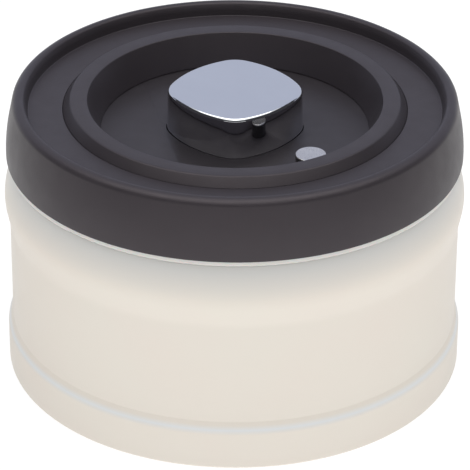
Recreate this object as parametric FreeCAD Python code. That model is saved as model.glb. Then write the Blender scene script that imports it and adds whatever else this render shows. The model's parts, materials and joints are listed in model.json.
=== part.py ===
import FreeCAD, Part
import math
import os

# Vacuum seal canister: a coated steel canister closed by a lid with a push pump.
# Millimetres. The origin is the centre of the base, +Z is up, -Y is the front,
# and the release button stands on the +X side.

# Pump button: a soft square with bowed sides
button_side_radius = 28.0   # bow of each side
button_corner_radius = 8.0
button_draft = 0.45         # sides lean out by this much, from the top to the flange
button_rise = 11.6          # top of the cap above the well floor
button_wall = 1.5
button_room = 1.3           # inside of the button's sides to the return spring
button_roof = 1.8
button_flange = 1.6         # stop flange under the well floor, outwards
button_flange_thick = 1.6
button_gap = 0.3            # button to its hole in the well floor
press_travel = 8.0
cap_wall = 0.8              # chrome cap, its sides
cap_thick = 1.45            # chrome cap, its top
cap_edge_round = 0.8
stop_gap = 0.3              # both buttons' flanges to the well floor at rest

# Pump
cylinder_bore = 9.5
cylinder_wall = 1.5
cylinder_floor = 2.0
cylinder_lip = 2.0          # barrel above the piston at rest
roof_gap = 1.8              # barrel to the button's roof when pressed
piston_gap = 0.4
piston_height = 4.0
piston_edge_round = 0.4
piston_seal_gap = 0.15
piston_seal_height = 1.8
piston_seal_depth = 1.6
groove_gap = 0.1
piston_stem_radius = 4.0
piston_vent_count = 6
piston_vent_radius = 0.7
vent_rim = 0.8              # rim between a vent and its neighbours
flap_thick = 0.6
dead_gap = 0.5              # piston to the inlet valve when pressed
valve_height = 1.0
valve_radius = 4.9
valve_stem_radius = 1.2
valve_bead = 0.5
valve_bead_height = 0.6
valve_edge_thick = 0.4
inlet_count = 6
inlet_radius = 0.8
spigot_wall = 0.8
strainer_thick = 0.4
strainer_hole_radius = 0.45
strainer_rim = 0.3
strainer_rings = 2          # rings of holes about the middle one
strainer_ring_holes = 6     # holes that each ring adds
ring_section = 1.6          # cylinder seal, radial width
ring_squeeze = 1.2          # cylinder seal, height in its groove
loose_fit = 0.1             # parts that drop into each other by hand
pump_screw_count = 3
pump_screw_start = 90.0     # first screw, in degrees about Z from +X
pump_screw_radius = 0.9
pump_screw_head = 2.0
pump_screw_head_height = 1.2
pump_screw_length = 6.0
pump_boss_wall = 1.2
pump_flange_margin = 0.4    # flange past its bosses

# Screws of the lid and the piston
thread_gap = 0.05
head_recess_gap = 0.2
piston_screw_radius = 1.5
piston_screw_head = 2.6
piston_screw_head_height = 1.6
piston_screw_length = 8.4
lid_screw_count = 4
lid_screw_start = 45.0      # first screw, in degrees about Z from +X
lid_screw_radius = 1.3
lid_screw_head = 2.5
lid_screw_head_height = 1.3
lid_screw_length = 9.5
lid_boss_wall = 1.2
lid_boss_gap = 1.1
screw_tip_gap = 0.5

# Release button
release_radius = 4.1
release_angle = -4.5        # about Z from +X, in degrees
release_rise = 4.3          # top above the well floor
release_gap = 0.3
release_flange = 1.2
release_flange_thick = 1.6
release_wall = 0.8
release_roof = 1.4
release_cap_thick = 0.4
release_cap_round = 0.15
release_stem_radius = 1.4
release_travel = 2.5
release_plate_gap = 1.5     # flange to the pan when pressed
release_seal_radius = 4.4
release_seal_thick = 1.4
release_clip_radius = 2.8
release_clip_thick = 0.8
release_stem_end = 0.7
release_room = 3.86         # pot to the release seal
release_wall_gap = 1.2      # button to the foot of the well wall
vent_gap = 1.0

# Springs
return_wire = 1.2
return_turns = 8
return_gap = 0.6            # coil to the barrel and to the screw bosses
release_wire = 0.5
release_turns = 7
release_coil_gap = 0.5      # coil to the inside of the release button
coil_end_gap = 0.5          # between the closed end turns
coil_seat_gap = 0.1

# Shares: of a run that its two rounded corners may take, and of a screw's head
corner_share = 0.98
cross_depth_share = 0.5
cross_width_share = 0.3
cross_length_share = 1.1
head_round_share = 0.6

# Lid pan
pot_gap = 1.05              # button flange to the pot
pot_wall = 1.5
pot_floor = 1.5
plate_wall = 1.5
plug_wall = 1.6
plug_gap = 0.8              # plug to the neck
rib_wall = 1.7
inner_rib_offset = 0.7
floor_overlap = 0.4         # well floor past the rib that carries it
pan_flange_thick = 2.0
pan_flange_gap = 0.4
pan_corner_round = 1.0

# Well collar and lid cover
well_floor_thick = 1.8
well_depth = 8.9
well_draft = 3.77           # well wall leans out by this much
well_wall = 1.8
collar_top_width = 4.53
collar_rise = 2.6           # collar above the shelf
collar_edge_round = 0.8
collar_flange_thick = 1.5
collar_flange_lap = 1.3
collar_flare = 2.0          # collar's outer slope leans out by this much
collar_fit = 0.1            # collar's foot to the cover
collar_seat_depth = 3.5     # collar's flange below the shelf
cover_wall = 2.0
crown_height = 3.8          # rim above the shelf
crown_width = 2.65
crown_flare = 1.25
crown_outer_round = 2.4
crown_inner_round = 1.2
shelf_corner_round = 0.6
shelf_edge_round = 0.15
lid_taper = 2.3             # skirt leans in by this much
skirt_knee = 5.8            # straight foot of the skirt, before it leans in
skirt_bend = 40.0
lid_edge_wall = 2.5
lid_edge_round = 0.5

# Gaskets
seal_thick = 2.0
seal_lip_depth = 4.0
seal_lip_gap = 0.3          # lip to the neck
seal_round = 0.5
skirt_seal_inset = 0.4      # its outside behind the lid's edge
skirt_seal_gap = 0.1        # above the shoulder's ledge

# Canister
sheet = 0.9
base_proud = 1.29           # base band past the wall
base_band_height = 11.0
base_ramp = 3.0             # slope from the band to the wall
base_edge_round = 1.0
band_round = 2.0
crease_round = 0.6
foot_width = 6.0
foot_recess = 1.2
wall_height = 45.2
bead_proud = 1.29           # bead past the wall
bead_ramp = 2.65
bead_height = 4.85
shoulder_height = 8.6
shoulder_inset = 2.32
shoulder_round = 20.0
shoulder_edge_round = 1.0
neck_height = 8.7
neck_corner_round = 0.5
rim_roll = 0.6
rim_depth = 1.6
rim_round = 0.3
skirt_gap = 0.6             # rim to the lid's skirt
lid_edge_gap = 1.5          # lid's lower edge to the shoulder's ledge
lid_overhang = 1.6          # lid's lower edge past the shoulder


def soft_square_corner():
    """Centre of a corner arc of the button's outline, along X and along Y."""
    lean = button_side_radius - button_half
    reach = button_side_radius - button_corner_radius
    return (math.sqrt(2 * reach ** 2 - lean ** 2) - lean) / 2


# Radii, from the pump's axis outwards; button_half reaches the middle of a side of the cap at its top
barrel_radius = cylinder_bore + cylinder_wall
return_radius = barrel_radius + return_gap + return_wire / 2
core_offset = -cap_wall - loose_fit
button_half = return_radius + return_wire / 2 + button_room + button_wall - core_offset
button_diagonal = soft_square_corner() * math.sqrt(2) + button_corner_radius
pump_boss_radius = pump_screw_radius + thread_gap + pump_boss_wall
pump_boss_place = return_radius + return_wire / 2 + return_gap + pump_boss_radius
pump_flange_radius = pump_boss_place + pump_boss_radius + pump_flange_margin
stop_flange_offset = button_draft + button_flange
pot_radius = max(button_diagonal + stop_flange_offset, pump_flange_radius) + pot_gap
release_place = pot_radius + pot_wall + release_room + release_seal_radius
well_floor_radius = release_place + release_radius + release_wall_gap
inner_rib_radius = well_floor_radius + inner_rib_offset
well_disc_radius = inner_rib_radius + rib_wall + floor_overlap
collar_inner_radius = well_floor_radius + well_draft
collar_radius = collar_inner_radius + collar_top_width
collar_foot_radius = collar_radius + collar_flare
cover_hole_radius = collar_foot_radius + collar_fit
collar_flange_radius = cover_hole_radius + collar_flange_lap
lid_boss_radius = lid_screw_radius + thread_gap + lid_boss_wall
lid_boss_place = collar_flange_radius + lid_boss_gap + lid_boss_radius
plug_inner_radius = lid_boss_place + lid_boss_radius + lid_boss_gap
plug_radius = plug_inner_radius + plug_wall
mouth_radius = plug_radius + plug_gap
neck_radius = mouth_radius + sheet
rim_radius = neck_radius + rim_roll
skirt_radius = rim_radius + skirt_gap
lid_edge_radius = skirt_radius + lid_edge_wall
crown_radius = lid_edge_radius - lid_taper
crown_inner_radius = crown_radius - crown_width
shelf_radius = crown_inner_radius - crown_flare
shoulder_radius = lid_edge_radius - lid_overhang
bead_radius = shoulder_radius + shoulder_inset
wall_radius = bead_radius - bead_proud
base_radius = wall_radius + base_proud

# Heights, from the base upwards and then down into the lid
bead_z = wall_height + bead_ramp
bead_top_z = bead_z + bead_height
ledge_z = bead_top_z + shoulder_height
mouth_z = ledge_z + neck_height
lid_edge_z = ledge_z + lid_edge_gap
pan_flange_z = mouth_z + seal_thick
cover_under_z = pan_flange_z + pan_flange_thick
shelf_z = cover_under_z + cover_wall
crown_z = shelf_z + crown_height
collar_top_z = shelf_z + collar_rise
collar_seat_z = shelf_z - collar_seat_depth
collar_flange_z = collar_seat_z - collar_flange_thick
floor_z = collar_top_z - well_depth
floor_under_z = floor_z - well_floor_thick
stop_z = floor_under_z - stop_gap
plate_z = stop_z - release_flange_thick - release_travel - release_plate_gap
plate_under_z = plate_z - plate_wall
cap_top_z = floor_z + button_rise
button_top_z = cap_top_z - cap_thick
button_under_z = button_top_z - button_roof
button_bottom_z = stop_z - button_flange_thick
barrel_top_z = button_under_z - press_travel - roof_gap
piston_top_z = barrel_top_z - cylinder_lip
piston_z = piston_top_z - piston_height
cylinder_floor_z = piston_z - press_travel - dead_gap - valve_height
pot_floor_z = cylinder_floor_z - cylinder_floor
pot_under_z = pot_floor_z - pot_floor
release_top_z = floor_z + release_rise
release_cap_z = release_top_z - release_cap_thick
release_roof_z = release_cap_z - release_roof
release_bottom_z = stop_z - release_flange_thick
release_clip_z = plate_under_z - release_seal_thick - release_clip_thick
release_stem_z = release_clip_z - release_stem_end


def rounded_wire(corners):
    """Closed XZ wire through (r, z) corners; a third number rounds that corner."""
    count = len(corners)
    places = [FreeCAD.Vector(corner[0], 0, corner[1]) for corner in corners]
    radii = [corner[2] if len(corner) > 2 else 0.0 for corner in corners]
    before = [(places[i - 1] - places[i]).normalize() for i in range(count)]
    after = [(places[(i + 1) % count] - places[i]).normalize() for i in range(count)]
    halves = [before[i].getAngle(after[i]) / 2 for i in range(count)]
    cuts = [radii[i] / math.tan(halves[i]) if radii[i] else 0.0 for i in range(count)]
    for i in range(count):
        j = (i + 1) % count
        room = corner_share * (places[j] - places[i]).Length
        if cuts[i] + cuts[j] > room:
            share = room / (cuts[i] + cuts[j])
            cuts[i] *= share
            cuts[j] *= share
    edges = []
    for i in range(count):
        j = (i + 1) % count
        start = places[i] + after[i] * cuts[i]
        end = places[j] + before[j] * cuts[j]
        edges.append(Part.LineSegment(start, end).toShape())
        if cuts[j]:
            leave = places[j] + after[j] * cuts[j]
            bisector = (before[j] + after[j]).normalize()
            depth = cuts[j] * (1 / math.cos(halves[j]) - math.tan(halves[j]))
            edges.append(Part.Arc(end, places[j] + bisector * depth, leave).toShape())
    return Part.Wire(edges)


def turned(corners):
    """Solid of revolution about Z from a rounded half section."""
    face = Part.Face(rounded_wire(corners))
    return face.revolve(FreeCAD.Vector(0, 0, 0), FreeCAD.Vector(0, 0, 1), 360)


def rod(radius, bottom, top, x=0.0, y=0.0):
    """Upright cylinder between two heights."""
    return Part.makeCylinder(radius, top - bottom, FreeCAD.Vector(x, y, bottom))


def tube(outer, inner, bottom, top):
    return rod(outer, bottom, top).cut(rod(inner, bottom, top))


def ring_places(count, radius, start=0.0):
    """Evenly spaced (x, y) places on a circle; start is an angle in degrees."""
    angles = [math.radians(start + 360.0 * i / count) for i in range(count)]
    return [(radius * math.cos(angle), radius * math.sin(angle)) for angle in angles]


def soft_square_wire(z, offset):
    """The button's outline at one height, moved outwards by offset."""
    half = button_half + offset
    side = button_side_radius + offset
    corner = button_corner_radius + offset
    centre = soft_square_corner()
    side_centre = half - side
    tangent = math.atan2(centre, centre - side_centre)
    near = side_centre + side * math.cos(tangent)
    bow = side * math.sin(tangent)
    reach = centre + corner * math.sqrt(0.5)
    edges = []
    for quarter in range(4):
        cosine = math.cos(math.pi / 2 * quarter)
        sine = math.sin(math.pi / 2 * quarter)
        places = [FreeCAD.Vector(x * cosine - y * sine, x * sine + y * cosine, z)
                  for x, y in ((near, -bow), (half, 0), (near, bow), (reach, reach), (bow, near))]
        edges.append(Part.Arc(*places[0:3]).toShape())
        edges.append(Part.Arc(*places[2:5]).toShape())
    return Part.Wire(edges)


def soft_square(bottom, top, offset=0.0):
    """Upright prism on the button's outline."""
    face = Part.Face(soft_square_wire(bottom, offset))
    return face.extrude(FreeCAD.Vector(0, 0, top - bottom))


def leaning_soft_square(bottom, top, low_offset, high_offset):
    """Prism on the button's outline whose sides lean evenly."""
    wires = [soft_square_wire(bottom, low_offset), soft_square_wire(top, high_offset)]
    return Part.makeLoft(wires, True, True)


def lean_at(z):
    """How far the cap's sides lean out at one height."""
    return button_draft * (cap_top_z - z) / (cap_top_z - stop_z)


def at_release(shape):
    """Move a shape made on the axis to the release button's place."""
    angle = math.radians(release_angle)
    shape.translate(FreeCAD.Vector(math.cos(angle), math.sin(angle), 0) * release_place)
    return shape


def screw(x, y, head_z, head_height, head_radius, shank_radius, length):
    """Pan-head screw pointing up, with a cross recess; head_z is its lower face."""
    seat_z = head_z + head_height
    head = turned([(0, head_z), (head_radius, head_z, head_height * head_round_share),
                   (head_radius, seat_z), (0, seat_z)])
    slot_depth = head_height * cross_depth_share
    slot_width = head_radius * cross_width_share
    slot_length = head_radius * cross_length_share
    for sizes in ((slot_length, slot_width), (slot_width, slot_length)):
        corner = FreeCAD.Vector(-sizes[0] / 2, -sizes[1] / 2, head_z)
        head = head.cut(Part.makeBox(sizes[0], sizes[1], slot_depth, corner))
    whole = head.fuse(rod(shank_radius, seat_z, seat_z + length)).removeSplitter()
    whole.translate(FreeCAD.Vector(x, y, 0))
    return whole


def biarc(start, start_way, end, end_way):
    """Two arcs that leave start and reach end along the given unit directions."""
    chord = end - start
    ways = start_way + end_way
    spread = 2 * (1 - start_way.dot(end_way))
    along = chord.dot(ways)
    leg = (math.sqrt(along ** 2 + spread * chord.dot(chord)) - along) / spread
    first = start + start_way * leg
    second = end - end_way * leg
    middle = (first + second) * 0.5
    edges = []
    for near, knee, far in ((start, first, middle), (middle, second, end)):
        base = (near + far) * 0.5
        half_turn = math.acos(min(1.0, (far - near).Length / 2 / leg))
        rise = math.tan(half_turn / 2) / math.tan(half_turn)
        edges.append(Part.Arc(near, base + (knee - base) * rise, far).toShape())
    return edges


def coil(name, radius, wire, turns, bottom, top):
    """Coil spring with closed end turns between two seats, one unbroken tube."""
    low = bottom + coil_seat_gap + wire / 2
    high = top - coil_seat_gap - wire / 2
    end_pitch = wire + coil_end_gap
    pitch = (high - low - 2 * end_pitch) / (turns - 2)
    quarter = 0.25

    def height(turn):
        if turn < 1:
            return low + end_pitch * turn
        if turn > turns - 1:
            return high - end_pitch * (turns - turn)
        return low + end_pitch + pitch * (turn - 1)

    def place(turn):
        angle = 2 * math.pi * turn
        return FreeCAD.Vector(radius * math.cos(angle), radius * math.sin(angle), height(turn))

    def way(turn):
        angle = 2 * math.pi * turn
        climb = (height(turn + quarter / 2) - height(turn - quarter / 2)) / quarter
        around = 2 * math.pi * radius
        flow = FreeCAD.Vector(-around * math.sin(angle), around * math.cos(angle), climb)
        return flow.normalize()

    edges = []
    for step in range(round(turns / quarter)):
        begin = step * quarter
        end = begin + quarter
        edges += biarc(place(begin), way(begin), place(end), way(end))
    path = Part.Wire(edges)
    section = Part.Wire([Part.Circle(place(0), way(0), wire / 2).toShape()])
    below = [step * quarter for step in range(round((turns - 1) / quarter) + 1)]
    gap = min(height(turn + 1) - height(turn) for turn in below) - wire
    print(f"{name}: least gap between turns {gap:.2f} mm")
    return path.makePipeShell([section], True, False)


def canister_body():
    """Drawn steel canister with one wall thickness."""
    foot_edge = base_radius - base_edge_round - foot_width
    recess_edge = foot_edge - foot_recess
    neck_low_z = ledge_z - sheet
    outside = [
        (0, foot_recess), (recess_edge, foot_recess), (foot_edge, 0),
        (base_radius, 0, base_edge_round), (base_radius, base_band_height, band_round),
        (wall_radius, base_band_height + base_ramp, crease_round),
        (wall_radius, wall_height, crease_round), (bead_radius, bead_z, band_round),
        (bead_radius, bead_top_z, shoulder_round), (shoulder_radius, ledge_z, shoulder_edge_round),
        (neck_radius, ledge_z, neck_corner_round), (neck_radius, mouth_z - rim_depth, rim_round),
        (rim_radius, mouth_z - rim_depth, rim_round), (rim_radius, mouth_z, rim_round)]
    inside = [
        (mouth_radius, mouth_z, rim_round), (mouth_radius, neck_low_z, neck_corner_round),
        (shoulder_radius - sheet, neck_low_z, shoulder_edge_round),
        (bead_radius - sheet, bead_top_z, shoulder_round), (bead_radius - sheet, bead_z, band_round),
        (wall_radius - sheet, wall_height, crease_round),
        (wall_radius - sheet, base_band_height + base_ramp, crease_round),
        (base_radius - sheet, base_band_height, band_round),
        (base_radius - sheet, sheet, base_edge_round), (foot_edge, sheet),
        (recess_edge, foot_recess + sheet), (0, foot_recess + sheet)]
    return turned(outside + inside)


def lid_cover():
    """Outer cover: skirt, rounded rim, shelf, lip round the collar and screw bosses."""
    cover = turned([
        (skirt_radius, lid_edge_z), (lid_edge_radius, lid_edge_z, lid_edge_round),
        (lid_edge_radius, lid_edge_z + skirt_knee, skirt_bend),
        (crown_radius, crown_z, crown_outer_round), (crown_inner_radius, crown_z, crown_inner_round),
        (shelf_radius, shelf_z, shelf_corner_round), (cover_hole_radius, shelf_z, shelf_edge_round),
        (cover_hole_radius, collar_seat_z), (collar_flange_radius, collar_seat_z),
        (collar_flange_radius, cover_under_z), (skirt_radius, cover_under_z)])
    for x, y in ring_places(lid_screw_count, lid_boss_place, lid_screw_start):
        cover = cover.fuse(rod(lid_boss_radius, plate_z, cover_under_z, x, y))
    cover = cover.removeSplitter()
    for x, y in ring_places(lid_screw_count, lid_boss_place, lid_screw_start):
        top = plate_z + lid_screw_length - plate_wall + screw_tip_gap
        cover = cover.cut(rod(lid_screw_radius + thread_gap, plate_z, top, x, y))
    return cover


def well_collar():
    """Raised ring with sloped sides, the wall of the well and a flange under the cover."""
    slope = well_draft / well_depth
    roof_z = collar_top_z - well_wall
    under_radius = well_floor_radius + well_wall + slope * (roof_z - floor_z)
    return turned([
        (well_floor_radius, floor_z), (well_floor_radius + well_wall, floor_z),
        (under_radius, roof_z), (collar_foot_radius - well_wall, roof_z),
        (collar_foot_radius - well_wall, collar_flange_z), (collar_flange_radius, collar_flange_z),
        (collar_flange_radius, collar_seat_z), (collar_foot_radius, collar_seat_z),
        (collar_foot_radius, shelf_z), (collar_radius, collar_top_z, collar_edge_round),
        (collar_inner_radius, collar_top_z, collar_edge_round)])


def well_floor():
    """Disc clamped between the collar and the pan, with a hole for each button."""
    disc = rod(well_disc_radius, floor_under_z, floor_z)
    disc = disc.cut(soft_square(floor_under_z, floor_z, lean_at(floor_under_z) + button_gap))
    return disc.cut(at_release(rod(release_radius + release_gap, floor_under_z, floor_z)))


def lid_base():
    """Pan that plugs into the neck, carries the well and holds the pump in its pot."""
    outer_rib_radius = collar_flange_radius - rib_wall
    pan = turned([
        (pump_spigot_radius() + loose_fit, pot_under_z),
        (pot_radius + pot_wall, pot_under_z, pan_corner_round),
        (pot_radius + pot_wall, plate_under_z, pan_corner_round),
        (plug_radius, plate_under_z, pan_corner_round),
        (plug_radius, pan_flange_z), (skirt_radius - pan_flange_gap, pan_flange_z),
        (skirt_radius - pan_flange_gap, cover_under_z), (plug_inner_radius, cover_under_z),
        (plug_inner_radius, plate_z), (pot_radius, plate_z), (pot_radius, pot_floor_z),
        (pump_spigot_radius() + loose_fit, pot_floor_z)])
    pan = pan.fuse(tube(inner_rib_radius + rib_wall, inner_rib_radius, plate_z, floor_under_z))
    pan = pan.fuse(tube(collar_flange_radius, outer_rib_radius, plate_z, collar_flange_z))
    pan = pan.removeSplitter()
    for x, y in ring_places(lid_screw_count, lid_boss_place, lid_screw_start):
        pan = pan.cut(rod(lid_screw_radius + loose_fit, plate_under_z, plate_z, x, y))
    for x, y in ring_places(pump_screw_count, pump_boss_place, pump_screw_start):
        pan = pan.cut(rod(pump_screw_radius + loose_fit, pot_under_z, pot_floor_z, x, y))
    return pan.cut(at_release(rod(release_stem_radius + vent_gap, plate_under_z, plate_z)))


def pump_spigot_radius():
    """Short spigot under the barrel, which holds the strainer."""
    return valve_radius + spigot_wall


def pump_cylinder():
    """Barrel on a screwed-down floor with the inlet ports and a spigot for the strainer."""
    spigot = pump_spigot_radius()
    recess = valve_radius + loose_fit / 2
    recess_z = pot_under_z + strainer_thick + valve_bead_height + loose_fit
    body = rod(pump_flange_radius, pot_floor_z, cylinder_floor_z)
    body = body.fuse(tube(barrel_radius, cylinder_bore, cylinder_floor_z, barrel_top_z))
    body = body.fuse(rod(spigot, pot_under_z, pot_floor_z))
    bosses = ring_places(pump_screw_count, pump_boss_place, pump_screw_start)
    boss_top = pot_under_z + pump_screw_length + screw_tip_gap + pump_boss_wall
    for x, y in bosses:
        body = body.fuse(rod(pump_boss_radius, pot_floor_z, boss_top, x, y))
    body = body.removeSplitter()
    for x, y in bosses:
        hole_top = pot_under_z + pump_screw_length + screw_tip_gap
        body = body.cut(rod(pump_screw_radius + thread_gap, pot_floor_z, hole_top, x, y))
    body = body.cut(rod(recess, pot_under_z, recess_z))
    body = body.cut(rod(valve_stem_radius + loose_fit, recess_z, cylinder_floor_z))
    for x, y in ring_places(inlet_count, inlet_place()):
        body = body.cut(rod(inlet_radius, recess_z, cylinder_floor_z, x, y))
    groove_inner = spigot + vent_rim
    groove = tube(groove_inner + ring_section + 2 * groove_gap, groove_inner,
                  pot_floor_z, pot_floor_z + ring_squeeze)
    return body.cut(groove)


def inlet_place():
    """Radius of the circle of inlet ports, midway under the valve's skirt."""
    return (valve_stem_radius + valve_radius) / 2


def cylinder_seal():
    """Ring squeezed between the barrel's floor and the pan."""
    inner = pump_spigot_radius() + vent_rim + groove_gap
    outer = inner + ring_section
    top = pot_floor_z + ring_squeeze
    return turned([(inner, pot_floor_z, seal_round), (outer, pot_floor_z, seal_round),
                   (outer, top, seal_round), (inner, top, seal_round)])


def inlet_valve():
    """Umbrella valve: a thin skirt over the ports and a beaded stem through the floor."""
    recess_z = pot_under_z + strainer_thick + valve_bead_height + loose_fit
    bead_low = recess_z - valve_bead_height
    beaded = valve_stem_radius + valve_bead
    top = cylinder_floor_z + valve_height
    return turned([
        (0, bead_low), (beaded, bead_low, valve_bead / 2), (beaded, recess_z),
        (valve_stem_radius, recess_z), (valve_stem_radius, cylinder_floor_z),
        (valve_radius, cylinder_floor_z), (valve_radius, cylinder_floor_z + valve_edge_thick),
        (valve_stem_radius, top), (0, top)])


def inlet_strainer():
    """Perforated disc pressed into the spigot."""
    radius = valve_radius
    top = pot_under_z + strainer_thick
    disc = rod(radius, pot_under_z, top)
    outer_ring = radius - strainer_rim - strainer_hole_radius
    holes = [(0.0, 0.0)]
    for ring in range(1, strainer_rings + 1):
        holes += ring_places(strainer_ring_holes * ring, outer_ring * ring / strainer_rings)
    for x, y in holes:
        disc = disc.cut(rod(strainer_hole_radius, pot_under_z, top, x, y))
    return disc


def pump_screws():
    head_z = pot_under_z - pump_screw_head_height
    places = ring_places(pump_screw_count, pump_boss_place, pump_screw_start)
    return Part.makeCompound([
        screw(x, y, head_z, pump_screw_head_height, pump_screw_head, pump_screw_radius,
              pump_screw_length) for x, y in places])


def lid_screws():
    head_z = plate_under_z - lid_screw_head_height
    places = ring_places(lid_screw_count, lid_boss_place, lid_screw_start)
    return Part.makeCompound([
        screw(x, y, head_z, lid_screw_head_height, lid_screw_head, lid_screw_radius,
              lid_screw_length) for x, y in places])


def main_seal():
    """Gasket under the pan's flange, with a lip that hangs inside the neck."""
    inner = plug_radius + loose_fit
    outer = skirt_radius - pan_flange_gap
    lip = mouth_radius - seal_lip_gap
    lip_z = mouth_z - seal_lip_depth
    return turned([
        (inner, lip_z, seal_round), (lip, lip_z, seal_round), (lip, mouth_z),
        (outer, mouth_z, seal_round), (outer, pan_flange_z, seal_round), (inner, pan_flange_z)])


def skirt_seal():
    """Soft ring under the lid's lower edge, just clear of the shoulder."""
    inner = skirt_radius + loose_fit
    outer = lid_edge_radius - skirt_seal_inset
    low = ledge_z + skirt_seal_gap
    return turned([(inner, low), (outer, low, seal_round), (outer, lid_edge_z), (inner, lid_edge_z)])


def push_button():
    """Hollow core under the cap, with a stop flange and a central stem for the piston."""
    shell = leaning_soft_square(stop_z, button_top_z, button_draft + core_offset,
                                lean_at(button_top_z) + core_offset)
    shell = shell.fuse(soft_square(button_bottom_z, stop_z, stop_flange_offset))
    shell = shell.cut(soft_square(button_bottom_z, button_under_z, core_offset - button_wall))
    stem_z = piston_top_z + flap_thick
    shell = shell.fuse(rod(piston_stem_radius, stem_z, button_under_z)).removeSplitter()
    hole_top = piston_z + piston_screw_head_height + piston_screw_length + screw_tip_gap
    return shell.cut(rod(piston_screw_radius + thread_gap, stem_z, hole_top))


def button_cap():
    """Chrome cap over the whole core, down to its flange, with a rounded top edge."""
    shell = leaning_soft_square(stop_z, cap_top_z, button_draft, 0.0)
    rim = [edge for edge in shell.Edges if edge.BoundBox.ZMin > button_top_z]
    shell = shell.makeFillet(cap_edge_round, rim)
    room = leaning_soft_square(stop_z, button_top_z, button_draft - cap_wall, lean_at(button_top_z) - cap_wall)
    return shell.cut(room)


def piston():
    """Disc with a seal groove, vents and a recess for its screw."""
    radius = cylinder_bore - piston_gap
    groove = cylinder_bore - piston_seal_gap - piston_seal_depth - groove_gap
    middle = (piston_z + piston_top_z) / 2
    half = piston_seal_height / 2 + groove_gap
    recess = piston_screw_head + head_recess_gap
    recess_z = piston_z + piston_screw_head_height
    hole = piston_screw_radius + loose_fit
    disc = turned([
        (recess, piston_z), (radius, piston_z, piston_edge_round), (radius, middle - half),
        (groove, middle - half), (groove, middle + half), (radius, middle + half),
        (radius, piston_top_z, piston_edge_round), (hole, piston_top_z), (hole, recess_z), (recess, recess_z)])
    for x, y in ring_places(piston_vent_count, piston_vent_place()):
        disc = disc.cut(rod(piston_vent_radius, piston_z, piston_top_z, x, y))
    return disc


def piston_vent_place():
    """Radius of the circle of vents, just outside the stem."""
    return piston_stem_radius + vent_rim + piston_vent_radius


def piston_seal():
    outer = cylinder_bore - piston_seal_gap
    inner = outer - piston_seal_depth
    middle = (piston_z + piston_top_z) / 2
    low = middle - piston_seal_height / 2
    high = middle + piston_seal_height / 2
    return turned([(inner, low), (outer, low, seal_round), (outer, high, seal_round), (inner, high)])


def exhaust_flap():
    """Soft washer held by the stem, which covers the vents."""
    outer = piston_vent_place() + piston_vent_radius + vent_rim
    return tube(outer, piston_screw_radius + loose_fit, piston_top_z, piston_top_z + flap_thick)


def piston_screw():
    return screw(0, 0, piston_z, piston_screw_head_height, piston_screw_head, piston_screw_radius,
                 piston_screw_length)


def release_button():
    """Small cup with a stop flange and a stem that reaches the vent's seal."""
    body = turned([
        (0, release_roof_z), (release_radius - release_wall, release_roof_z),
        (release_radius - release_wall, release_bottom_z),
        (release_radius + release_flange, release_bottom_z), (release_radius + release_flange, stop_z),
        (release_radius, stop_z), (release_radius, release_cap_z), (0, release_cap_z)])
    body = body.fuse(rod(release_stem_radius, release_stem_z, release_roof_z)).removeSplitter()
    return at_release(body)


def release_cap():
    return at_release(turned([
        (0, release_cap_z), (release_radius, release_cap_z),
        (release_radius, release_top_z, release_cap_round), (0, release_top_z)]))


def release_seal():
    hole = release_stem_radius + thread_gap
    low = plate_under_z - release_seal_thick
    return at_release(turned([
        (hole, low), (release_seal_radius, low, seal_round), (release_seal_radius, plate_under_z),
        (hole, plate_under_z)]))


def release_clip():
    top = release_clip_z + release_clip_thick
    hole = release_stem_radius + thread_gap
    return at_release(tube(release_clip_radius, hole, release_clip_z, top))


def return_spring():
    return coil("return_spring", return_radius, return_wire, return_turns,
                cylinder_floor_z, button_under_z)


def release_spring():
    radius = release_radius - release_wall - release_coil_gap - release_wire / 2
    return at_release(coil("release_spring", radius, release_wire, release_turns,
                           plate_z, release_roof_z))


pieces = {
    "canister_body": canister_body,
    "lid_cover": lid_cover,
    "well_collar": well_collar,
    "well_floor": well_floor,
    "lid_base": lid_base,
    "lid_screws": lid_screws,
    "main_seal": main_seal,
    "skirt_seal": skirt_seal,
    "pump_cylinder": pump_cylinder,
    "cylinder_seal": cylinder_seal,
    "pump_screws": pump_screws,
    "inlet_valve": inlet_valve,
    "inlet_strainer": inlet_strainer,
    "return_spring": return_spring,
    "push_button": push_button,
    "button_cap": button_cap,
    "piston": piston,
    "piston_seal": piston_seal,
    "exhaust_flap": exhaust_flap,
    "piston_screw": piston_screw,
    "release_button": release_button,
    "release_cap": release_cap,
    "release_seal": release_seal,
    "release_clip": release_clip,
    "release_spring": release_spring,
}

os.makedirs("parts", exist_ok=True)
for name, make in pieces.items():
    shape = make()
    box = shape.BoundBox
    print(f"{name}: {len(shape.Solids)} solids, {shape.Volume:.1f} mm3, valid {shape.isValid()}, "
          f"z {box.ZMin:.2f} to {box.ZMax:.2f}, x {box.XMin:.2f} to {box.XMax:.2f}")
    shape.exportStep(f"parts/{name}.step")
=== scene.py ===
"""Looks of the vacuum seal canister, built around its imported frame, in metres."""
import json
import math

import bmesh
import bpy
from mathutils import Matrix, Vector


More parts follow.
